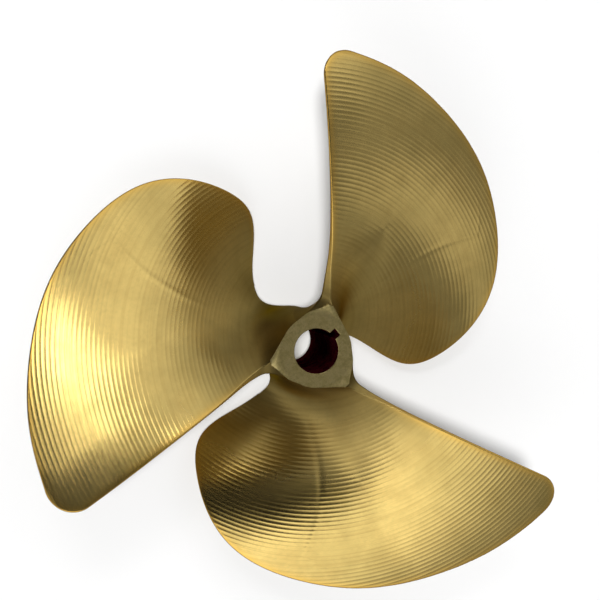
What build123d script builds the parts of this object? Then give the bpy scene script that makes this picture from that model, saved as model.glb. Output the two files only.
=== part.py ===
from build123d import *
import math
import os

# Three-bladed right-hand inboard boat propeller, machined in one piece from bronze.
# Millimetres. The origin is the centre of the hub's aft face, +Z is the shaft axis, pointing aft, and +X
# points through the keyway. So the hub hangs below the XY plane, and the trailing edges rise above it.
# The hub and the blades are separate solids that meet face to face on the hub's cylinder.

# Driving dimensions
blade_count = 3
tip_radius = 165.1            # a 13 inch propeller
hub_radius = 20.5
hub_length = 60.0
hub_edge_chamfer = 0.8
bore_radius = 12.7            # for a 1 inch shaft
keyway_width = 4.8            # 3/16 inch
keyway_depth = 3.5            # past the wall of the bore
first_blade_turn = -41.0      # degrees from the keyway to blade 1's own X axis

# Everything below describes a blade about its own X and Y axes, with its trailing edge near its Y axis.

# Pitch and rake, with radii as fractions of the tip radius
reference_angle = 45.0        # the radial line that the rake is given on
middle_pitch = 292.0          # 11.5 inches, the smallest pitch
middle_pitch_radius = 0.51
pitch_growth = 392.0          # times the square of the distance from that radius
rake_height = -15.8           # the face's highest point on the reference line
rake_radius = 0.63
rake_drop = 96.0              # times the square of the distance from that radius
root_rise = 17.0              # the root stands higher than that, to fill the hub's length
root_rise_reach = 28.0        # from the hub's surface

# Thickness, square to the blade
edge_thickness = 1.4
edge_growth = 2.8             # added to the edges at the hub
edge_growth_reach = 50.0
axis_thickness = 10.5         # the middle of the blade, run in to the shaft axis
tip_thickness = 2.2
crown_sharpness = 2.5
root_flare = 9.0              # what the fillet at the hub adds to each side
root_flare_reach = 12.0

# Outline, seen along the shaft
trailing_edge = [(3.5, 85.0), (5.4, 50.0), (5.6, 35.0)]
trailing_fillet_end = (-8.0, 18.0)
tip_corner_centre = (12.7, 150.4)
tip_corner_radius = 14.2
tip_corner_start = 72.0       # degrees, where the leading edge meets the tip's corner
tip_corner_end = 184.0        # degrees, where the trailing edge meets it
leading_fillet_end = (17.0, -7.0)
leading_edge = [
    (34.0, 3.0),
    (50.0, -4.5),
    (75.0, -17.8),
    (95.5, -11.5),
    (116.0, 9.0),
    (126.0, 38.5),
    (119.0, 80.0),
    (97.0, 117.5),
    (53.0, 152.5),
]
leading_root_direction = (1.0, -0.2)
trailing_root_direction = (0.0, -1.0)

# The leading edge's angle in degrees, which swings back from its foremost radius to the tip and to the hub
foremost_radius = 0.46
foremost_angle = -14.0
tip_sweep = 98.0
tip_sweep_power = 2.2
hub_sweep = 220.0
trailing_edge_angle = 89.0

# The patch of helical surface that the outline is cut from
patch_stations = 24
patch_columns = 17
patch_inner_radius = 19.0
patch_outer_radius = 168.0
patch_crowding = 1.7          # above one, this sets the stations closer together near the hub
patch_trailing_margin = 24.0
patch_leading_margin = 30.0
cut_height = 160.0            # taller than any blade

# The blades' roots are machined flush with both faces of the hub inside these radii, and outside them the
# cuts slope away from the hub as cones, out to the root cut's radius
aft_flush_radius = 26.0
forward_flush_radius = 23.0
root_cut_radius = 50.0
aft_cone_rise = 8.5
forward_cone_drop = 15.0


def cylindrical_point(angle, radius, height):
    """A point given by its angle in degrees, its radius and its height."""
    return Vector(radius * math.cos(math.radians(angle)), radius * math.sin(math.radians(angle)), height)


def lead(radius):
    """Height gained per radian at a radius: the pitch over a full turn."""
    pitch = middle_pitch + pitch_growth * (radius / tip_radius - middle_pitch_radius) ** 2
    return pitch / (2 * math.pi)


def leading_angle(radius):
    """Angle of the leading edge at a radius."""
    away = radius / tip_radius - foremost_radius
    if away > 0:
        return foremost_angle + tip_sweep * (away / (1 - foremost_radius)) ** tip_sweep_power
    return foremost_angle + hub_sweep * away**2


def near_hub(radius, reach):
    """One at the hub's surface, falling smoothly to nothing where the reach ends."""
    return max(0.0, 1 - (radius - hub_radius) / reach) ** 2


def face_height(radius, angle):
    """Height of the pressure face, which looks aft, before the fillet at the hub."""
    rake = rake_height - rake_drop * (radius / tip_radius - rake_radius) ** 2
    rake += root_rise * near_hub(radius, root_rise_reach)
    return rake + lead(radius) * math.radians(angle - reference_angle)


def slope_factor(radius):
    """Height along the shaft for one unit measured square to the blade."""
    return math.hypot(1, lead(radius) / radius)


def thickness(radius, angle):
    """Blade thickness, crowned between its two edges and thinner towards the tip."""
    chord = trailing_edge_angle - leading_angle(radius)
    from_middle = 2 * (trailing_edge_angle - angle) / chord - 1
    crown = math.exp(-crown_sharpness * from_middle**4)
    middle = axis_thickness + (tip_thickness - axis_thickness) * radius / tip_radius
    edge = edge_thickness + edge_growth * near_hub(radius, edge_growth_reach)
    return edge + (middle - edge) * crown


def patch(side):
    """One side of the blade as a smooth surface, wider than the outline."""
    rows = []
    for station in range(patch_stations):
        outward = (station / (patch_stations - 1)) ** patch_crowding
        radius = patch_inner_radius + (patch_outer_radius - patch_inner_radius) * outward
        first = trailing_edge_angle + patch_trailing_margin
        last = leading_angle(radius) - patch_leading_margin
        flare = root_flare * near_hub(max(radius, hub_radius), root_flare_reach)
        row = []
        for column in range(patch_columns):
            angle = first + (last - first) * column / (patch_columns - 1)
            height = face_height(radius, angle) + flare * slope_factor(radius)
            if side == "back":
                height -= (thickness(radius, angle) + 2 * flare) * slope_factor(radius)
            row.append(cylindrical_point(angle, radius, height))
        rows.append(row)
    return Face.make_surface_from_array_of_points(rows, tol=0.02)


def outline():
    """The blade's outline, as a flat face in the XY plane."""
    tip_edge = CenterArc(
        tip_corner_centre, tip_corner_radius, tip_corner_start, tip_corner_end - tip_corner_start
    )
    leading = Spline(*leading_edge, tip_edge @ 0, tangents=[leading_root_direction, tip_edge % 0])
    leading_fillet = TangentArc(leading @ 0, leading_fillet_end, tangent=-(leading % 0))
    trailing = Spline(tip_edge @ 1, *trailing_edge, tangents=[tip_edge % 1, trailing_root_direction])
    trailing_fillet = TangentArc(trailing @ 1, trailing_fillet_end, tangent=trailing % 1)
    root = Line(trailing_fillet @ 1, leading_fillet @ 1)
    return make_face([leading_fillet, leading, tip_edge, trailing, trailing_fillet, root])


def beyond(side, direction):
    """Everything above (1) or below (-1) one side of the blade."""
    return Solid.extrude(patch(side), Vector(0, 0, direction * cut_height))


def hub():
    """Hub with a plain parallel bore, and a keyway along the whole of it."""
    body = Cylinder(hub_radius, hub_length, align=(Align.CENTER, Align.CENTER, Align.MAX))
    forward_rim = body.edges().filter_by(GeomType.CIRCLE).sort_by(Axis.Z)[:1]
    body = chamfer(forward_rim, hub_edge_chamfer)
    body -= Cylinder(bore_radius, hub_length, align=(Align.CENTER, Align.CENTER, Align.MAX))
    keyway_reach = bore_radius + keyway_depth
    return body - Box(keyway_reach, keyway_width, hub_length, align=(Align.MIN, Align.CENTER, Align.MAX))


def root_cut(flush_radius, flush_height, cone_height, far_height):
    """A flat disc and the cone around it, as one turned solid that reaches to the far height."""
    profile = Polyline(
        (0, flush_height),
        (flush_radius, flush_height),
        (root_cut_radius, cone_height),
        (root_cut_radius, far_height),
        (0, far_height),
        close=True,
    )
    return revolve(Plane.XZ * make_face(profile), Axis.Z)


def blade():
    """One blade about its own axes, cut off at the hub and flush with the hub's two faces at the root."""
    body = extrude(outline(), cut_height / 2, both=True)
    body -= beyond("face", 1)
    body -= beyond("back", -1)
    body -= root_cut(aft_flush_radius, 0, aft_cone_rise, cut_height)
    body -= root_cut(forward_flush_radius, -hub_length, -hub_length - forward_cone_drop, -cut_height)
    return body - Cylinder(hub_radius, 2 * cut_height)


os.makedirs("parts", exist_ok=True)
export_step(hub(), "parts/hub.step")
pattern_blade = blade()
for index in range(blade_count):
    blade_turn = first_blade_turn + index * 360 / blade_count
    export_step(Rot(0, 0, blade_turn) * pattern_blade, f"parts/blade_{index + 1}.step")
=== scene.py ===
import math

import bmesh
import bpy
import numpy as np
from mathutils import Matrix, Vector
from mathutils.kdtree import KDTree


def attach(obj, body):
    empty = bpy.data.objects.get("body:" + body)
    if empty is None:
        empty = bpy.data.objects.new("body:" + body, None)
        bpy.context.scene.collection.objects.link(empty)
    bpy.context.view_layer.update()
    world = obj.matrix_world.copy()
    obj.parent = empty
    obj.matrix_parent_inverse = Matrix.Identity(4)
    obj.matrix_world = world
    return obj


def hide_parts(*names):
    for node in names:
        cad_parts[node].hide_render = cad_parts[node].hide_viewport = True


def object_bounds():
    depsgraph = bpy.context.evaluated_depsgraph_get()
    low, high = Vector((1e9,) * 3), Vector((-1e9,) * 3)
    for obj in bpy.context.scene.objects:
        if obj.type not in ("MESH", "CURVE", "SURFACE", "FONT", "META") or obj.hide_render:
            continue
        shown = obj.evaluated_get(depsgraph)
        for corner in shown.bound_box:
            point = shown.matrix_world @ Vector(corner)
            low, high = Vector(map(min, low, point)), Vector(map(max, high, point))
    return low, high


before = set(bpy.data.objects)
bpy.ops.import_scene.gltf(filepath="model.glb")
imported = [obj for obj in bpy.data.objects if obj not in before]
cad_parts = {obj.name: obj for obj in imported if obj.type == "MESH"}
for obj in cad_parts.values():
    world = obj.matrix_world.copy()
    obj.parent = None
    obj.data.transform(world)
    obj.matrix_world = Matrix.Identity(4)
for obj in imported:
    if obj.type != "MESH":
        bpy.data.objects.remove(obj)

# A three-bladed bronze propeller, machined all over, with its hub's aft face up and the shaft axis on Z.
# Shapes are worked out in millimetres, and turned into metres when a mesh is made.

cad_low, cad_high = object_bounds()
MM = 0.001

# ---------------------------------------------------------------- sizes, the CAD model's own

BLADE_COUNT = 3
FIRST_BLADE_TURN = -41.0        # degrees, from the keyway to blade 1's own X axis
HUB_RADIUS = 20.5
HUB_LENGTH = 60.0
BORE_RADIUS = 12.7
KEYWAY_HALF_WIDTH = 2.4
KEYWAY_FLOOR = 16.2             # from the shaft axis
TIP_RADIUS = 165.1

# Pitch and rake of the pressure face, with radii as fractions of the tip radius
REFERENCE_ANGLE = 45.0
MIDDLE_PITCH = 292.0
MIDDLE_PITCH_RADIUS = 0.51
PITCH_GROWTH = 392.0
RAKE_HEIGHT = -15.8
RAKE_RADIUS = 0.63
RAKE_DROP = 96.0
ROOT_RISE = 17.0
ROOT_RISE_REACH = 28.0

# Thickness, square to the blade
EDGE_THICKNESS = 1.4
EDGE_GROWTH = 2.8
EDGE_GROWTH_REACH = 50.0
AXIS_THICKNESS = 10.5
TIP_THICKNESS = 2.2
CROWN_SHARPNESS = 2.5
TRAILING_EDGE_ANGLE = 89.0

# The leading edge's angle in degrees, as the thickness law sees it
FOREMOST_RADIUS = 0.46
FOREMOST_ANGLE = -14.0
TIP_SWEEP = 98.0
TIP_SWEEP_POWER = 2.2
HUB_SWEEP = 220.0

# Outline of the blade's middle surface, seen along the shaft, without the fillet at the hub
TIP_CENTRE = (12.7, 150.4)
TIP_CORNER = 14.1
TIP_CORNER_START = 72.0
TIP_CORNER_END = 184.0
TRAILING_EDGE = [(3.8, 85.0), (6.0, 50.0), (6.3, 35.0), (5.8, 26.0), (5.4, 17.0)]
LEADING_EDGE = [
    (17.0, 5.5), (34.0, 3.0), (50.0, -4.5), (75.0, -17.8), (95.5, -11.5),
    (116.0, 9.0), (126.0, 38.5), (119.0, 80.0), (97.0, 117.5), (52.9, 151.75),
]

# The fillet at the hub, and the turned cuts that bring the roots flush with the hub's two faces
FILLET_RADIUS = 13.0
AFT_FLUSH_RADIUS = 26.8
FORWARD_FLUSH_RADIUS = 24.0
CUT_BEVEL = 1.2                 # height of the step's slope for each millimetre outwards
CUT_OUTER_RADIUS = 45.0
CUT_DEPTH = 60.0                # how far the cutters reach beyond the hub's faces

# The cutter's marks: concentric passes with a shallow scallop each
PASS_WIDTH = 2.54
ROWS_IN_PASS = 7
SCALLOP_HEIGHT = 0.08
SCALLOP_MEAN = 0.33             # share of its height that a scallop is on average
SCALLOP_START = 33.0            # radius where the marks begin, outside the hand-blended root
SCALLOP_FADE = 14.0

# The witness line that each side's two milling set-ups leave where they meet: a low ridge along the blade
WITNESS_HEIGHT = 0.15
WITNESS_HALF_WIDTH = 1.7
WITNESS_ANGLE = 39.5            # degrees, at its inner end
WITNESS_SWEEP = 0.00142         # degrees for each square millimetre beyond that
WITNESS_START = 45.0
WITNESS_END = 128.0
WITNESS_OVERRUN = 8.0           # how far it runs on past both, fading
WITNESS_FADE_IN = 10.0
WITNESS_FADE_OUT = 16.0

# The face rolls off gently beside the trailing edge
ROLL_WIDTH = 26.0
ROLL_RADIUS = 220.0
ROLL_START = 60.0               # radius where the roll begins, and its growth to full over the next stretch
ROLL_GROWTH = 40.0


# ---------------------------------------------------------------- blade laws

def lead(radius):
    """Height gained per radian."""
    fraction = radius / TIP_RADIUS
    return (MIDDLE_PITCH + PITCH_GROWTH * (fraction - MIDDLE_PITCH_RADIUS) ** 2) / (2 * math.pi)


def near_hub(radius, reach):
    """One at the hub's surface, falling smoothly to nothing at the end of the reach."""
    return max(0.0, 1 - max(0.0, radius - HUB_RADIUS) / reach) ** 2


def face_height(radius, angle):
    """Height of the pressure face at an angle in radians."""
    rake = RAKE_HEIGHT - RAKE_DROP * (radius / TIP_RADIUS - RAKE_RADIUS) ** 2
    rake += ROOT_RISE * near_hub(radius, ROOT_RISE_REACH)
    return rake + lead(radius) * (angle - math.radians(REFERENCE_ANGLE))


def leading_angle(radius):
    """The leading edge's angle in degrees, for the thickness law."""
    away = radius / TIP_RADIUS - FOREMOST_RADIUS
    if away > 0:
        return FOREMOST_ANGLE + TIP_SWEEP * (away / (1 - FOREMOST_RADIUS)) ** TIP_SWEEP_POWER
    return FOREMOST_ANGLE + HUB_SWEEP * away**2


def edge_thickness(radius):
    return EDGE_THICKNESS + EDGE_GROWTH * near_hub(radius, EDGE_GROWTH_REACH)


def thickness(radius, angle):
    """Thickness square to the blade at an angle in radians."""
    chord = TRAILING_EDGE_ANGLE - leading_angle(radius)
    from_middle = 2 * (TRAILING_EDGE_ANGLE - np.degrees(angle)) / chord - 1
    crown = np.exp(-CROWN_SHARPNESS * from_middle**4)
    middle = AXIS_THICKNESS + (TIP_THICKNESS - AXIS_THICKNESS) * radius / TIP_RADIUS
    edge = edge_thickness(radius)
    return edge + (middle - edge) * crown


CURVE_STEPS = 120               # to each span between two points of an edge
LEADING_CORNER_STEPS = 60
TRAILING_CORNER_STEPS = 200


def curve_through(points, steps):
    """A natural cubic curve through the points, with a number of steps in each span."""
    points = np.array(points, float)
    spans = np.sqrt(np.linalg.norm(np.diff(points, axis=0), axis=1))
    count = len(points)
    system = np.eye(count)
    right = np.zeros_like(points)
    for i in range(1, count - 1):
        before, after = spans[i - 1], spans[i]
        system[i, i - 1 : i + 2] = before, 2 * (before + after), after
        right[i] = 6 * ((points[i + 1] - points[i]) / after - (points[i] - points[i - 1]) / before)
    bend = np.linalg.solve(system, right)
    curve = []
    for i, span in enumerate(spans):
        for t in np.linspace(0, span, steps, endpoint=False):
            back = span - t
            curve.append(
                (bend[i] * back**3 + bend[i + 1] * t**3) / (6 * span)
                + (points[i] / span - bend[i] * span / 6) * back
                + (points[i + 1] / span - bend[i + 1] * span / 6) * t
            )
    return np.array(curve + [points[-1]])


def corner_arc(start, end, steps):
    """The tip's round corner between two directions in degrees."""
    turn = np.radians(np.linspace(start, end, steps))
    return np.array(TIP_CENTRE) + TIP_CORNER * np.stack([np.cos(turn), np.sin(turn)], axis=1)


def polar(points):
    """Radii and angles of plan points, in order of radius."""
    radii = np.hypot(points[:, 0], points[:, 1])
    order = np.argsort(radii)
    return radii[order], np.arctan2(points[:, 1], points[:, 0])[order]


def outline():
    """(radii, angles) of the leading and of the trailing edge, from the hub out to the tip."""
    apex = math.degrees(math.atan2(TIP_CENTRE[1], TIP_CENTRE[0]))
    to_leading = corner_arc(apex, TIP_CORNER_START, LEADING_CORNER_STEPS)
    to_trailing = corner_arc(apex, TIP_CORNER_END, TRAILING_CORNER_STEPS)
    leading = curve_through(LEADING_EDGE + [tuple(to_leading[-1])], CURVE_STEPS)
    trailing = curve_through([tuple(to_trailing[-1])] + TRAILING_EDGE, CURVE_STEPS)
    return polar(np.vstack([leading, to_leading])), polar(np.vstack([trailing, to_trailing]))


# ---------------------------------------------------------------- blade mesh

# Rows run across the blade at one radius each, and columns run along it from the hub to the tip.
ROOT_ROWS = 16                  # over the fillet at the hub
TIP_ROWS = 8                    # over the rounded tip
NOSE_STEPS = 6                  # columns around each corner of an edge
LEADING_COLUMNS = 32            # from the leading edge to the witness line
LINE_COLUMNS = 10               # over the witness line
TRAILING_COLUMNS = 40           # from the witness line to the trailing edge
WALL_STEPS = 10                 # columns across the thickness, at the edges and at both ends
CAP_RADIUS = HUB_RADIUS - 0.01  # where a blade ends, just inside the hub's wall

# The rounding along both edges
MOST_ROUNDING = 0.8
ROUNDING_SHARE = 0.45           # of the edge's thickness
NOSE_REACH = 25.0               # how far in from an edge its rounding may take
NOSE_SAMPLES = 34
NOSE_CROWDING = 2.6             # sets those samples closer together near the edge
NOSE_SHARE = 0.9                # most of the distance to the row's middle that it takes
EDGE_SAMPLES = 4000             # points along each edge, for distances to it
NEAR_HUB = 38.0                 # inside this radius both edges run nearly along the radius
LEAST_STEP = 1e-7               # keeps distances that have to grow from standing still
LEAST_TURN = 1e-5               # least angle that a row spans, at the tip's very end

# The given outline is the face's at the leading edge, so the middle surface's is shifted there. That fades
# out towards the tip, and ends at a radius.
SHIFT_END = 140.0
SHIFT_FADE = 60.0

# The marks on both sides
LINE_MARGIN = 0.25              # share of a row that the witness line keeps from the row's ends
LINE_SHARE = 0.1                # most of a row that the fine columns on one side of the line take
LINE_WIDTHS = 2.0               # half-widths of the line that they take otherwise
EDGE_CLEAR = 1.5                # distance from the rounding over which the cutter's marks fade in
DEPTH_RANGE = (0.85, 1.12)      # of a cutter pass, as shares of the scallop's height
MOST_PASSES = 80
PASS_SEED = 4
RIM_FADE = 3.0                  # distance over which the painted orange highlight along each edge fades into the blade


def slant(radius):
    """How a blade leans at a radius: its length for a unit around, and the lean's sine and cosine."""
    tangent = lead(radius) / radius
    slope = math.hypot(1, tangent)
    return slope, tangent / slope, 1 / slope


def fillet(radius):
    """How far the fillet pushes the blade's surface out at a radius."""
    away = max(0.0, radius - HUB_RADIUS)
    if away >= FILLET_RADIUS:
        return 0.0
    return FILLET_RADIUS - math.sqrt(FILLET_RADIUS**2 - (FILLET_RADIUS - away) ** 2)


def rounding(radius):
    """Radius of the rounding on both edges."""
    return min(MOST_ROUNDING, ROUNDING_SHARE * edge_thickness(radius))


def row_radii(apex_radius, corner):
    """Radii of the rows: close at the fillet, a few to each cutter pass, and close at the tip."""
    turns = np.linspace(0, math.pi / 2, ROOT_ROWS)
    root = HUB_RADIUS + FILLET_RADIUS * (1 - np.cos(turns))
    step = PASS_WIDTH / ROWS_IN_PASS
    first = math.ceil(root[-1] / step + 0.5) * step
    last = apex_radius - corner
    rows = list(root) + list(np.arange(first, last - step / 2, step))
    turns = np.linspace(math.pi / 2, 0, TIP_ROWS)[:-1]
    rows += list(apex_radius - corner * (1 - np.cos(turns)))
    return [CAP_RADIUS] + rows


def scallop(radius, depths):
    """How far a cutter pass leaves the surface proud at a radius."""
    place = radius / PASS_WIDTH
    number = int(place)
    across = place - number - 0.5
    fade = min(1.0, max(0.0, (radius - SCALLOP_START) / SCALLOP_FADE))
    return SCALLOP_HEIGHT * depths[number] * fade * (4 * across**2 - SCALLOP_MEAN)


def witness_angle(radius, low, high):
    """Angle of the witness line in radians, kept well inside the row's two ends."""
    angle = math.radians(WITNESS_ANGLE - WITNESS_SWEEP * max(0.0, radius - WITNESS_START) ** 2)
    margin = LINE_MARGIN * (high - low)
    return min(max(angle, low + margin), high - margin)


def witness(radius, from_line):
    """Height of the witness line's ridge at a distance from its middle."""
    fade_in = (radius - WITNESS_START + WITNESS_OVERRUN) / WITNESS_FADE_IN
    fade_out = (WITNESS_END + WITNESS_OVERRUN - radius) / WITNESS_FADE_OUT
    fade = min(1.0, max(0.0, fade_in), max(0.0, fade_out))
    return WITNESS_HEIGHT * fade * np.exp(-((from_line / WITNESS_HALF_WIDTH) ** 2))


def roll_off(radius, from_trailing):
    """How far the blade drops beside its trailing edge."""
    into_roll = np.clip(ROLL_WIDTH - from_trailing, 0, ROLL_WIDTH)
    return into_roll**2 / (2 * ROLL_RADIUS) * np.clip((radius - ROLL_START) / ROLL_GROWTH, 0, 1)


class EdgeFinder:
    """Distances to the blade's outline, measured along the blade's own surface."""

    def __init__(self, edges):
        points = []
        for radii, angles in edges:
            fine = np.concatenate([np.linspace(radii[0], radii[-1], EDGE_SAMPLES), radii])
            turn = np.interp(fine, radii, angles)
            points += list(zip(fine * np.cos(turn), fine * np.sin(turn)))
        self.tree = KDTree(len(points))
        for index, (x, y) in enumerate(points):
            self.tree.insert((x, y, 0), index)
        self.tree.balance()

    def distance(self, radius, angle):
        x, y = radius * math.cos(angle), radius * math.sin(angle)
        (near_x, near_y, _), _, _ = self.tree.find((x, y, 0))
        outwards = ((near_x - x) * x + (near_y - y) * y) / radius
        around = ((near_y - y) * x - (near_x - x) * y) / radius
        return math.hypot(outwards, around * slant(radius)[0])

    def distances(self, radius, end, sign, samples):
        """Distances at places along a row, each given by how far it is from one of the row's ends."""
        if radius < NEAR_HUB:
            return samples * slant(radius)[0]
        return np.array([self.distance(radius, end + sign * s / radius) for s in samples])


def row_ends(radius, edges):
    """Angles of the leading and of the trailing end of a row."""
    (lead_radii, lead_angles), (trail_radii, trail_angles) = edges
    sine, cosine = slant(radius)[1:]
    shifted = min(1.0, max(0.0, (SHIFT_END - radius) / SHIFT_FADE))
    shift = (edge_thickness(radius) / 2) * sine / radius * shifted
    push = fillet(radius) * cosine / radius
    low = np.interp(radius, lead_radii, lead_angles) + shift - push
    high = np.interp(radius, trail_radii, trail_angles) + push
    return low, high


def nose(finder, radius, end, sign, width):
    """Where the columns that round one edge lie, as distances along the row from its end."""
    samples = np.minimum(NOSE_REACH * np.linspace(0, 1, NOSE_SAMPLES) ** NOSE_CROWDING, width / 2)
    away = np.maximum.accumulate(finder.distances(radius, end, sign, samples))
    away = away - away[0] + np.arange(len(away)) * LEAST_STEP
    most = min(rounding(radius), NOSE_SHARE * away[-1])
    turns = np.linspace(0, math.pi / 2, NOSE_STEPS + 1)
    return np.interp(most * (1 - np.cos(turns)), away, samples)


def row_columns(finder, radius, low, high):
    """(angles of a row's columns, angle of the witness line)."""
    width = max(high - low, LEAST_TURN) * radius
    leading_nose = nose(finder, radius, low, 1, width) / radius
    trailing_nose = nose(finder, radius, high, -1, width) / radius
    first, last = low + leading_nose[-1], high - trailing_nose[-1]
    line = witness_angle(radius, first, last)
    beside = min(LINE_WIDTHS * WITNESS_HALF_WIDTH / radius, LINE_SHARE * (last - first))
    angles = np.concatenate([
        low + leading_nose[:-1],
        np.linspace(first, line - beside, LEADING_COLUMNS)[:-1],
        np.linspace(line - beside, line + beside, LINE_COLUMNS),
        np.linspace(line + beside, last, TRAILING_COLUMNS)[1:],
        high - trailing_nose[:-1][::-1],
    ])
    return angles, line


def row_sides(finder, radius, edges, depths):
    """(points of the face, points of the back, distances from the outline) along one row from its leading
    edge, with each point as an angle and a height."""
    slope, sine, cosine = slant(radius)
    low, high = row_ends(radius, edges)
    angles, line = row_columns(finder, radius, low, high)
    from_low, from_high = (angles - low) * radius, (high - angles) * radius
    from_leading = finder.distances(radius, low, 1, from_low)
    from_trailing = finder.distances(radius, high, -1, from_high)
    away = np.minimum(from_leading, from_trailing)
    round_off = rounding(radius)
    inside = np.clip(round_off - away, 0, round_off)
    thick = thickness(radius, angles)
    half = thick / 2 + fillet(radius) - round_off + np.sqrt(round_off**2 - inside**2)
    middle = face_height(radius, angles) - thick / 2 * slope - roll_off(radius, from_high)
    clear = np.clip((away - round_off) / EDGE_CLEAR, 0, 1)
    sides = []
    for side, side_depths in zip((1, -1), depths):
        proud = scallop(radius, side_depths) * clear + witness(radius, (angles - line) * radius)
        around = radius * angles - side * (half + proud) * sine
        height = middle + side * (half + proud) * cosine
        sides.append(np.stack([around / radius, height], axis=1))
    return *sides, away


class BladeMesh:
    """One blade about its own axes, in millimetres, with each vertex's distance from the outline and a one
    for each vertex of the back."""

    def __init__(self):
        self.vertices, self.faces, self.from_edge, self.on_back = [], [], [], []
        edges = outline()
        finder = EdgeFinder(edges)
        random = np.random.RandomState(PASS_SEED)
        depths = [random.uniform(*DEPTH_RANGE, MOST_PASSES) for _ in ("face", "back")]
        apex_radius = min(radii[-1] for radii, _ in edges)
        loops = []
        for radius in row_radii(apex_radius, ROUNDING_SHARE * EDGE_THICKNESS):
            face, behind, away = row_sides(finder, radius, edges, depths)
            loops.append(self.add_loop(radius, face, behind, away))
        for below, above in zip(loops, loops[1:]):
            self.add_strip(below + below[:1], above + above[:1])
        for loop in (loops[0], loops[-1]):
            self.add_cap(loop, len(away))

    def add_loop(self, radius, face, behind, away):
        """A row's points all the way round: face, trailing edge, back, leading edge."""
        share = np.arange(1, WALL_STEPS)[:, None] / WALL_STEPS
        trailing_wall = face[-1] * (1 - share) + behind[-1] * share
        leading_wall = behind[0] * (1 - share) + face[0] * share
        points = np.vstack([face, trailing_wall, behind[::-1], leading_wall])
        start = len(self.vertices)
        self.vertices += [(radius * math.cos(a), radius * math.sin(a), z) for a, z in points]
        wall = [0.0] * (WALL_STEPS - 1)
        self.from_edge += [*away, *wall, *away[::-1], *wall]
        self.on_back += [0.0] * len(away) + wall + [1.0] * len(away) + wall
        return list(range(start, start + len(points)))

    def add_strip(self, first, second):
        """A strip of faces between two lines of vertices."""
        for i in range(len(first) - 1):
            self.faces.append((first[i], first[i + 1], second[i + 1], second[i]))

    def add_cap(self, loop, columns):
        """Closes a row's loop with a grid across the blade's thickness."""
        far = loop[columns + WALL_STEPS - 1 : 2 * columns + WALL_STEPS - 1][::-1]
        grid = [loop[:columns]]
        for step in range(1, WALL_STEPS):
            line = [loop[-step]]
            for column in range(1, columns - 1):
                line.append(self.add_between(loop[column], far[column], step / WALL_STEPS))
            grid.append(line + [loop[columns - 1 + step]])
        grid.append(far)
        for first, second in zip(grid, grid[1:]):
            self.add_strip(first, second)

    def add_between(self, near, far, share):
        """A vertex part of the way from one vertex to another, around the shaft's axis."""
        ends = [self.vertices[near], self.vertices[far]]
        start, end = np.array([(math.atan2(y, x), math.hypot(x, y), z) for x, y, z in ends])
        turn, out, height = start + (end - start) * share
        self.vertices.append((out * math.cos(turn), out * math.sin(turn), height))
        self.from_edge.append(self.from_edge[near])
        self.on_back.append(0.0)
        return len(self.vertices) - 1


# ---------------------------------------------------------------- mesh tools

TURNED_STEPS = 180
BLADE_SHARP_ANGLE = 42          # degrees between faces, past which an edge shows as sharp
HUB_SHARP_ANGLE = 30


def new_object(name, vertices, faces):
    """An object in the scene, from vertices in millimetres."""
    mesh = bpy.data.meshes.new(name)
    mesh.from_pydata([tuple(MM * c for c in v) for v in vertices], [], faces)
    mesh.validate()
    thing = bpy.data.objects.new(name, mesh)
    bpy.context.scene.collection.objects.link(thing)
    return thing


def ring_faces(lower, upper, count):
    """Faces between two closed rings of vertices, given by the number of each ring's first vertex."""
    faces = []
    for step in range(count):
        after = (step + 1) % count
        faces.append((lower + step, lower + after, upper + after, upper + step))
    return faces


def turned_solid(name, profile):
    """A profile of (radius, height) points turned about Z, with a flat disc at each end."""
    vertices, faces = [], []
    for radius, height in profile:
        for step in range(TURNED_STEPS):
            turn = 2 * math.pi * step / TURNED_STEPS
            vertices.append((radius * math.cos(turn), radius * math.sin(turn), height))
    last = (len(profile) - 1) * TURNED_STEPS
    for ring in range(0, last, TURNED_STEPS):
        faces += ring_faces(ring, ring + TURNED_STEPS, TURNED_STEPS)
    faces.append(tuple(range(TURNED_STEPS))[::-1])
    faces.append(tuple(range(last, last + TURNED_STEPS)))
    return new_object(name, vertices, faces)


def flush_cutter(name, flush_radius, face, direction):
    """The solid that a lathe takes off beyond one face of the hub, above it (1) or below it (-1)."""
    slope = CUT_BEVEL * (CUT_OUTER_RADIUS - flush_radius)
    profile = [
        (flush_radius, face),
        (CUT_OUTER_RADIUS, face + direction * slope),
        (CUT_OUTER_RADIUS, face + direction * CUT_DEPTH),
    ]
    if direction < 0:
        profile.reverse()
    return turned_solid(name, profile)


def cut(thing, cutter):
    """Takes the cutter away from the thing, and the cutter out of the scene."""
    modifier = thing.modifiers.new("cut", "BOOLEAN")
    modifier.operation = "DIFFERENCE"
    modifier.solver = "EXACT"
    modifier.object = cutter
    graph = bpy.context.evaluated_depsgraph_get()
    result = bpy.data.meshes.new_from_object(thing.evaluated_get(graph))
    thing.modifiers.clear()
    thing.data = result
    bpy.data.objects.remove(cutter)


def smooth(thing, angle):
    """Smooth shading, with sharp edges where faces meet at more than an angle in degrees."""
    thing.data.shade_smooth()
    thing.data.set_sharp_from_angle(angle=math.radians(angle))


def outward(thing):
    """Turns every face of a closed mesh outwards."""
    work = bmesh.new()
    work.from_mesh(thing.data)
    bmesh.ops.recalc_face_normals(work, faces=work.faces)
    work.to_mesh(thing.data)
    work.free()


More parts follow.
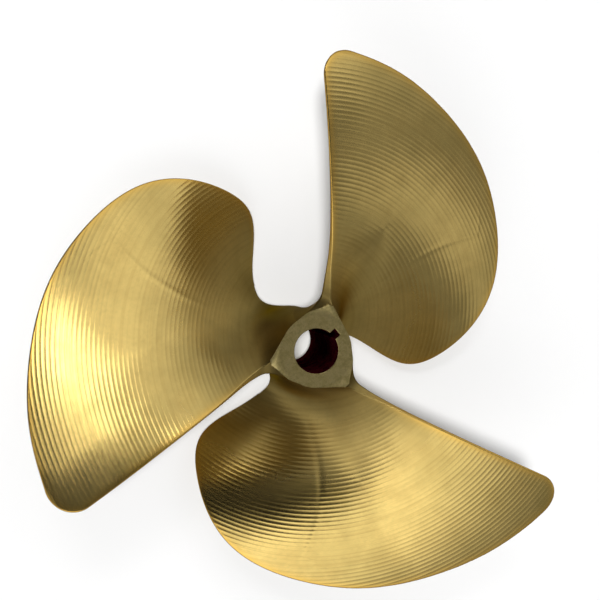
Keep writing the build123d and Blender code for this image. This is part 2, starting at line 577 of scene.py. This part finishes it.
def make_blades():
    """Three copies of one machined blade, turned to their places."""
    blade_mesh = BladeMesh()
    pattern = new_object("blade_pattern", blade_mesh.vertices, blade_mesh.faces)
    # the rim attribute is the mask for the painted orange highlight along the edges
    rim = pattern.data.attributes.new("rim", "FLOAT", "POINT")
    rim.data.foreach_set("value", np.exp(-np.array(blade_mesh.from_edge) / RIM_FADE))
    # the behind attribute marks the back, which the material darkens as painted shade
    behind = pattern.data.attributes.new("behind", "FLOAT", "POINT")
    behind.data.foreach_set("value", blade_mesh.on_back)
    outward(pattern)
    cut(pattern, flush_cutter("aft_cutter", AFT_FLUSH_RADIUS, 0, 1))
    cut(pattern, flush_cutter("forward_cutter", FORWARD_FLUSH_RADIUS, -HUB_LENGTH, -1))
    smooth(pattern, BLADE_SHARP_ANGLE)
    blades = []
    for index in range(BLADE_COUNT):
        turn = math.radians(FIRST_BLADE_TURN + 360 / BLADE_COUNT * index)
        mesh = pattern.data.copy()
        mesh.transform(Matrix.Rotation(turn, 4, "Z"))
        blade = bpy.data.objects.new(f"machined_blade_{index + 1}", mesh)
        bpy.context.scene.collection.objects.link(blade)
        blades.append(blade)
    bpy.data.objects.remove(pattern)
    return blades


# ---------------------------------------------------------------- hub mesh

HUB_BEVEL = 0.35
FORWARD_BEVEL = 0.8
CORNER_STEP = 0.004             # radians between the two points that keep a keyway corner crisp
BEFORE_CORNER = 0.94            # share of the turn to the keyway floor's corner, for a point just before it
AFTER_CORNER = 1.03             # the same for a point just past the corner where the keyway meets the bore
BORE_STEPS = 88                 # from that point round to the side opposite the keyway
LEAST_SINE = 1e-6               # keeps the middle of the keyway from dividing by zero


def bore_angles():
    """Angles round the hub, closer together at the keyway's corners."""
    floor_corner = math.atan2(KEYWAY_HALF_WIDTH, KEYWAY_FLOOR)
    wall_corner = math.asin(KEYWAY_HALF_WIDTH / BORE_RADIUS)
    past_wall = wall_corner * AFTER_CORNER
    half = [0, floor_corner / 2, floor_corner * BEFORE_CORNER, floor_corner, floor_corner + CORNER_STEP]
    half += [(floor_corner + wall_corner) / 2, wall_corner - CORNER_STEP, wall_corner, past_wall]
    half += list(np.linspace(past_wall, math.pi, BORE_STEPS))[1:]
    return [-a for a in half[:0:-1]] + half[:-1]


def bore_radius(turn, grow):
    """Distance from the axis to the wall of the bore or of the keyway, grown by a bevel."""
    reach = BORE_RADIUS + grow
    half_width = KEYWAY_HALF_WIDTH + grow
    sideways = abs(math.sin(turn)) * reach
    if math.cos(turn) < 0 or sideways >= half_width:
        return reach
    floor = (KEYWAY_FLOOR + grow) / math.cos(turn)
    wall = half_width / max(abs(math.sin(turn)), LEAST_SINE)
    return min(floor, wall)


def make_hub():
    """The hub as one skin: down the bore from the aft face, and back up the outside."""
    turns = bore_angles()
    levels = [                  # wall, how far it is moved outwards, height
        ("bore", HUB_BEVEL, 0),
        ("bore", 0, -HUB_BEVEL),
        ("bore", 0, HUB_BEVEL - HUB_LENGTH),
        ("bore", HUB_BEVEL, -HUB_LENGTH),
        ("outside", -FORWARD_BEVEL, -HUB_LENGTH),
        ("outside", 0, FORWARD_BEVEL - HUB_LENGTH),
        ("outside", 0, 0),
    ]
    vertices, faces = [], []
    for wall, grow, height in levels:
        for turn in turns:
            radius = bore_radius(turn, grow) if wall == "bore" else HUB_RADIUS + grow
            vertices.append((radius * math.cos(turn), radius * math.sin(turn), height))
    count = len(turns)
    for level in range(len(levels)):
        after = (level + 1) % len(levels)
        faces += ring_faces(level * count, after * count, count)
    hub = new_object("machined_hub", vertices, faces)
    outward(hub)
    smooth(hub, HUB_SHARP_ANGLE)
    return hub


# ---------------------------------------------------------------- material

class Graph:
    """Short ways of adding shader nodes to one material or world."""

    def __init__(self, tree):
        self.tree = tree

    def add(self, kind, **settings):
        node = self.tree.nodes.new("ShaderNode" + kind)
        for name, value in settings.items():
            setattr(node, name, value)
        return node

    def feed(self, socket, value):
        if isinstance(value, bpy.types.NodeSocket):
            self.tree.links.new(value, socket)
        else:
            socket.default_value = value

    def math(self, operation, *values):
        node = self.add("Math", operation=operation)
        for socket, value in zip(node.inputs, values):
            self.feed(socket, value)
        return node.outputs[0]

    def ramp(self, value, low, high, to_low=0.0, to_high=1.0):
        """A value carried smoothly from one range to another, and held beyond its ends."""
        node = self.add("MapRange", interpolation_type="SMOOTHSTEP")
        for socket, number in zip(node.inputs, (value, low, high, to_low, to_high)):
            self.feed(socket, number)
        return node.outputs[0]

    def noise(self, place, scale, detail, roughness, dimensions="3D"):
        node = self.add("TexNoise", noise_dimensions=dimensions)
        self.feed(node.inputs["W" if dimensions == "1D" else "Vector"], place)
        self.feed(node.inputs["Scale"], scale)
        self.feed(node.inputs["Detail"], detail)
        self.feed(node.inputs["Roughness"], roughness)
        return node.outputs["Fac"]

    def mix(self, factor, first, second):
        node = self.add("Mix", data_type="RGBA")
        self.feed(node.inputs["Factor"], factor)
        self.feed(node.inputs["A"], first)
        self.feed(node.inputs["B"], second)
        return node.outputs["Result"]


# Metal colours, as linear red, green, blue and one for alpha
GOLD = (0.86, 0.63, 0.21, 1)
OLIVE = (0.64, 0.48, 0.16, 1)
TARNISH = (0.36, 0.22, 0.05, 1)
# painted highlight: a brighter orange strip along both edges of each blade
EDGE_HIGHLIGHT_ORANGE = (0.92, 0.58, 0.13, 1)
# painted shade: darker brown towards the hub, on the roots and on the hub's outside wall
ROOT_SHADE_BROWN = (0.10, 0.07, 0.02, 1)
# painted shade: the back of each blade, which faces forward and down, darkened
BACK_SHADE_BROWN = (0.12, 0.085, 0.035, 1)
# painted shade: near-black where the fillets meet the hub, and on the hub's outside wall
ROOT_SHADE_BLACK = (0.03, 0.02, 0.008, 1)
BLADE_EDGE_TINT = (0.7, 0.55, 0.3, 1)   # what the blades reflect at a glancing angle
GROUND_LIGHT = (0.84, 0.68, 0.30, 1)
GROUND_DARK = (0.48, 0.39, 0.15, 1)
GROUND_SPECK = (0.82, 0.68, 0.36, 1)
# painted shade: the dark red-brown and near-black inside of the bore and keyway
BORE_SHADE_RED = (0.110, 0.0060, 0.0120, 1)
BORE_SHADE_BLACK = (0.020, 0.0020, 0.0040, 1)

# Noise scales, in features to a metre
CLOUD_SCALE = 18.0
STAIN_SCALE = 42.0
SPECK_SCALE = 420.0
BLOTCH_SCALE = 160.0
GROUND_SPECK_SCALE = 600.0
STREAK_SCALE = 220.0
BLADE_GRAIN_SCALE = 900.0
CUTTER_LINE_SCALE = 2600.0
HUB_GRAIN_SCALE = 1100.0
BORE_GRAIN_SCALE = 700.0

BLADE_STRETCH = 0.75            # how far the sheen is stretched, square to the grooves
QUARTER_TURN = 0.25             # of the sheen, from around the shaft to along the blade


def radius_of(graph, place):
    """Distance from the shaft axis in metres."""
    split = graph.add("SeparateXYZ")
    graph.feed(split.inputs[0], place)
    squares = [graph.math("MULTIPLY", split.outputs[axis], split.outputs[axis]) for axis in "XY"]
    return graph.math("SQRT", graph.math("ADD", *squares))


def start_material(name):
    """A new material, its graph, its shader and the place on the object that its patterns follow."""
    material = bpy.data.materials.new(name)
    material.use_nodes = True
    graph = Graph(material.node_tree)
    shader = material.node_tree.nodes["Principled BSDF"]
    place = graph.add("TexCoord").outputs["Object"]
    return material, graph, shader, place


def roughen(graph, shader, height, strength, depth):
    """Fine relief from a height pattern, at a depth in metres."""
    bump = graph.add("Bump")
    graph.feed(bump.inputs["Strength"], strength)
    graph.feed(bump.inputs["Distance"], depth)
    graph.feed(bump.inputs["Height"], height)
    graph.feed(shader.inputs["Normal"], bump.outputs[0])


def ground_colour(graph, place):
    """The hub's faces and the flush roots: olive-grey bronze in soft blotches."""
    blotches = graph.noise(place, BLOTCH_SCALE, 5.0, 0.7)
    colour = graph.mix(graph.ramp(blotches, 0.35, 0.65), GROUND_LIGHT, GROUND_DARK)
    specks = graph.noise(place, GROUND_SPECK_SCALE, 3.0, 0.6)
    return graph.mix(graph.ramp(specks, 0.6, 0.75, 0.0, 0.5), colour, GROUND_SPECK)


def blade_bronze():
    """Milled manganese bronze: gold, with olive and brown tarnish, rougher at the hand-ground root; painted
    shade darkens the root, the hub's outside wall and the back, and a painted orange highlight runs along
    the edges.
    """
    material, graph, shader, place = start_material("blade_bronze_look")
    radius = radius_of(graph, place)

    clouds = graph.noise(place, CLOUD_SCALE, 4.0, 0.6)
    stains = graph.noise(place, STAIN_SCALE, 6.0, 0.6)
    specks = graph.noise(place, SPECK_SCALE, 4.0, 0.7)
    passes = graph.noise(radius, 1 / (PASS_WIDTH * MM), 1.0, 0.5, "1D")
    colour = graph.mix(graph.ramp(clouds, 0.3, 0.75), GOLD, OLIVE)
    colour = graph.mix(graph.ramp(stains, 0.4, 0.8, 0.0, 0.25), colour, TARNISH)
    colour = graph.mix(graph.ramp(specks, 0.45, 0.75, 0.0, 0.4), colour, OLIVE)
    colour = graph.mix(graph.ramp(passes, 0.45, 0.7, 0.0, 0.12), colour, TARNISH)
    # painted shade: darker brown towards the hub, then near-black at the fillets and on the hub's outside
    # wall
    colour = graph.mix(graph.ramp(radius, 0.055, 0.026, 0.0, 0.45), colour, ROOT_SHADE_BROWN)
    colour = graph.mix(graph.ramp(radius, 0.036, 0.022, 0.0, 0.6), colour, ROOT_SHADE_BLACK)
    # painted shade: the back of each blade darkened
    behind = graph.add("Attribute", attribute_name="behind").outputs["Fac"]
    colour = graph.mix(graph.math("MULTIPLY", behind, 0.6), colour, BACK_SHADE_BROWN)
    # painted highlight: a brighter orange strip along both edges, outside the root
    rim = graph.add("Attribute", attribute_name="rim").outputs["Fac"]
    at_rim = graph.ramp(rim, 0.05, 0.8, 0.0, 0.8)
    past_root = graph.ramp(radius, 0.035, 0.075)
    colour = graph.mix(graph.math("MULTIPLY", at_rim, past_root), colour, EDGE_HIGHLIGHT_ORANGE)
    graph.feed(shader.inputs["Base Color"], colour)

    milled = graph.ramp(stains, 0.3, 0.7, 0.21, 0.25)
    ground = graph.ramp(radius, 0.095, 0.035, 0.0, 0.2)
    graph.feed(shader.inputs["Roughness"], graph.math("ADD", milled, ground))
    shader.inputs["Metallic"].default_value = 1.0
    shader.inputs["Specular Tint"].default_value = BLADE_EDGE_TINT
    shader.inputs["Anisotropic"].default_value = BLADE_STRETCH
    shader.inputs["Anisotropic Rotation"].default_value = QUARTER_TURN
    tangent = graph.add("Tangent", direction_type="RADIAL", axis="Z")
    graph.feed(shader.inputs["Tangent"], tangent.outputs[0])

    grain = graph.noise(place, BLADE_GRAIN_SCALE, 4.0, 0.7)
    lines = graph.noise(radius, CUTTER_LINE_SCALE, 2.0, 0.8, "1D")
    roughen(graph, shader, graph.math("ADD", grain, lines), 0.1, 0.00006)
    return material


def hub_bronze():
    """The hub, turned and then ground by hand: duller, greyer and more mottled than the blades."""
    material, graph, shader, place = start_material("hub_bronze_look")
    graph.feed(shader.inputs["Base Color"], ground_colour(graph, place))
    blotches = graph.noise(place, BLOTCH_SCALE, 5.0, 0.7)
    graph.feed(shader.inputs["Roughness"], graph.ramp(blotches, 0.3, 0.7, 0.38, 0.52))
    shader.inputs["Metallic"].default_value = 1.0
    roughen(graph, shader, graph.noise(place, HUB_GRAIN_SCALE, 4.0, 0.7), 0.5, 0.0001)
    return material


def bore_painted_shade():
    """The inside of the bore and keyway, painted as shade: dark red-brown with near-black streaks."""
    material, graph, shader, place = start_material("bore_shade_look")
    streaks = graph.noise(place, STREAK_SCALE, 4.0, 0.7)
    # painted shade, mottled between dark red and near-black
    colour = graph.mix(graph.ramp(streaks, 0.35, 0.7), BORE_SHADE_RED, BORE_SHADE_BLACK)
    graph.feed(shader.inputs["Base Color"], colour)
    graph.feed(shader.inputs["Roughness"], graph.ramp(streaks, 0.3, 0.7, 0.45, 0.7))
    shader.inputs["Specular IOR Level"].default_value = 0.0
    roughen(graph, shader, graph.noise(place, BORE_GRAIN_SCALE, 4.0, 0.7), 0.4, 0.0001)
    return material


# ---------------------------------------------------------------- the pieces

FLUSH_TOLERANCE = 0.02          # millimetres from a face of the hub
FACING_AFT = 0.999              # upright part of a normal, for a flat flush face
FACING_SIDEWAYS = 0.3           # upright part of a normal, for a wall of the hub


def cover_blade(blade, skin, flush_face):
    """The blade's own material, and the hub's where the root is flush with a face of the hub."""
    blade.data.materials.clear()
    blade.data.materials.append(skin)
    blade.data.materials.append(flush_face)
    for polygon in blade.data.polygons:
        x, y, z = (c / MM for c in polygon.center)
        level = min(abs(z), abs(z + HUB_LENGTH)) < FLUSH_TOLERANCE
        flat = level and abs(polygon.normal.z) > FACING_AFT
        polygon.material_index = int(flat and math.hypot(x, y) < AFT_FLUSH_RADIUS)


def cover_hub(hub, ends, bore, outside):
    """One material for the hub's two ends, one for its bore and keyway, and one for its outside."""
    for material in (ends, bore, outside):
        hub.data.materials.append(material)
    for polygon in hub.data.polygons:
        x, y, z = polygon.center
        if abs(polygon.normal.z) < FACING_SIDEWAYS:
            inside = math.hypot(x, y) / MM < KEYWAY_FLOOR + HUB_BEVEL
            polygon.material_index = 1 if inside else 2


blades = make_blades()
hub = make_hub()
blade_material = blade_bronze()
hub_material = hub_bronze()
bore_material = bore_painted_shade()
for index, blade in enumerate(blades):
    cover_blade(blade, blade_material, hub_material)
    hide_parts(f"blade_{index + 1}")
    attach(blade, "root")
cover_hub(hub, hub_material, bore_material, blade_material)
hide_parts("hub")
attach(hub, "root")

# ---------------------------------------------------------------- camera, floor, studio, lamp

PHOTO_TURN = math.radians(-41.0)        # from the keyway on +X to the picture's own right
CAMERA_TILT = math.radians(-14.8)       # of the camera towards the picture's right
CAMERA_RISE = math.radians(4.65)        # of the camera towards the picture's top
CAMERA_DISTANCE = 0.7154                # metres
CAMERA_SIDE = -0.00923                  # metres, towards the picture's right
CAMERA_UP = 0.02846                     # metres, towards the picture's top
SENSOR = 36.0                           # millimetres
LENS = 77.2                             # millimetres

FLOOR_REACH = 15.0              # metres from the middle to each side
FLOOR_GAP = 0.0005              # metres under the CAD model
FLOOR_COLOUR = (0.9, 0.9, 0.9, 1)
LAMP_ENERGY = 2.4
LAMP_ANGLE = 8                  # degrees across

# The studio: dark overhead, with a bright ring round that, which dims towards the horizon, and soft patches
# that are brighter or darker. A direction is its azimuth from the picture's right and its angle down from
# overhead, in degrees. The ceiling is (angle from overhead, brightness).
STUDIO_STRENGTH = 1.15
CEILING = [(0, 0.0), (29, 0.0), (33, 0.9), (44, 0.85), (54, 0.72), (65, 0.5), (76, 0.35), (90, 0.2)]
PATCHES = [                     # azimuth, angle from overhead, inner and outer radius, brightness
    (-40, 70, 34, 58, 0.18),
    (-30, 60, 6, 20, 0.5),
    (-124, 47, 12, 26, 1.1),
    (148, 50, 14, 19, 0.0),
    (132, 66, 24, 32, 0.0),
    (144, 86, 24, 34, 0.02),
    (-178, 37, 15, 19, 0.0),
    (-140, 42, 4, 9, 1.3),
    (113, 35, 5, 10, 5.5),
    (128, 20, 14, 16, 0.0),
    (0, 44, 10, 18, 0.12),
    (0, 180, 50, 86, 0.35),
]


def camera_axes():
    """(right, up, back) of the camera in the row frame."""
    back = Vector((
        math.sin(CAMERA_TILT) * math.cos(CAMERA_RISE),
        math.sin(CAMERA_RISE),
        math.cos(CAMERA_TILT) * math.cos(CAMERA_RISE),
    ))
    right = Vector((0, 1, 0)).cross(back).normalized()
    up = back.cross(right)
    turn = Matrix.Rotation(PHOTO_TURN, 3, "Z")
    return turn @ right, turn @ up, turn @ back


def make_camera(right, up, back):
    camera_data = bpy.data.cameras.new("camera")
    camera_data.lens = LENS
    camera_data.sensor_width = SENSOR
    camera = bpy.data.objects.new("camera", camera_data)
    place = CAMERA_DISTANCE * back + CAMERA_SIDE * right + CAMERA_UP * up
    camera.matrix_world = Matrix.Translation(place) @ Matrix((right, up, back)).transposed().to_4x4()
    bpy.context.scene.collection.objects.link(camera)
    bpy.context.scene.camera = camera


def make_floor():
    floor_mesh = bpy.data.meshes.new("floor")
    corners = [(-1, -1), (1, -1), (1, 1), (-1, 1)]
    floor_mesh.from_pydata([(FLOOR_REACH * x, FLOOR_REACH * y, 0) for x, y in corners], [], [(0, 1, 2, 3)])
    floor = bpy.data.objects.new("floor", floor_mesh)
    floor.location.z = cad_low[2] - FLOOR_GAP
    floor.visible_glossy = False    # the bronze mirrors the studio's lower half instead
    bpy.context.scene.collection.objects.link(floor)
    floor_material = bpy.data.materials.new("floor")
    floor_material.use_nodes = True
    floor_shader = floor_material.node_tree.nodes["Principled BSDF"]
    floor_shader.inputs["Base Color"].default_value = FLOOR_COLOUR
    floor_mesh.materials.append(floor_material)
    return floor


def direction(azimuth, down):
    """A direction of the studio in the row frame."""
    turn = math.radians(azimuth) + PHOTO_TURN
    level = math.sin(math.radians(down))
    return (level * math.cos(turn), level * math.sin(turn), math.cos(math.radians(down)))


def ceiling_glow(graph, ray):
    """Brightness of the studio by height alone."""
    split = graph.add("SeparateXYZ")
    graph.feed(split.inputs[0], ray)
    ceiling = graph.add("ValToRGB")
    stops = ceiling.color_ramp.elements
    for index, (down, bright) in enumerate(CEILING[::-1]):
        place = math.cos(math.radians(down))
        stop = stops[index] if index < 2 else stops.new(place)
        stop.position = place
        stop.color = (bright, bright, bright, 1)
    graph.feed(ceiling.inputs[0], split.outputs["Z"])
    return ceiling.outputs[0]


def make_studio():
    world = bpy.data.worlds.new("studio")
    bpy.context.scene.world = world
    world.use_nodes = True
    graph = Graph(world.node_tree)
    ray = graph.add("TexCoord").outputs["Generated"]
    glow = ceiling_glow(graph, ray)
    for azimuth, down, inner, outer, bright in PATCHES:
        facing = graph.add("VectorMath", operation="DOT_PRODUCT")
        graph.feed(facing.inputs[0], ray)
        graph.feed(facing.inputs[1], direction(azimuth, down))
        edge, full = math.cos(math.radians(outer)), math.cos(math.radians(inner))
        mask = graph.ramp(facing.outputs["Value"], edge, full)
        glow = graph.mix(mask, glow, (bright, bright, bright, 1))
    background = world.node_tree.nodes["Background"]
    graph.feed(background.inputs["Color"], glow)
    background.inputs["Strength"].default_value = STUDIO_STRENGTH


def make_lamp(floor, back):
    """A soft lamp from the camera's side, for the floor alone."""
    lamp_data = bpy.data.lights.new("front", "SUN")
    lamp_data.energy = LAMP_ENERGY
    lamp_data.angle = math.radians(LAMP_ANGLE)
    lamp = bpy.data.objects.new("front", lamp_data)
    lamp.rotation_euler = back.to_track_quat("Z", "Y").to_euler()
    bpy.context.scene.collection.objects.link(lamp)
    floor_only = bpy.data.collections.new("floor_only")
    floor_only.objects.link(floor)
    lamp.light_linking.receiver_collection = floor_only


right, up, back = camera_axes()
make_camera(right, up, back)
floor = make_floor()
make_studio()
make_lamp(floor, back)
bpy.context.scene.view_settings.view_transform = "Standard"

bpy.context.view_layer.update()
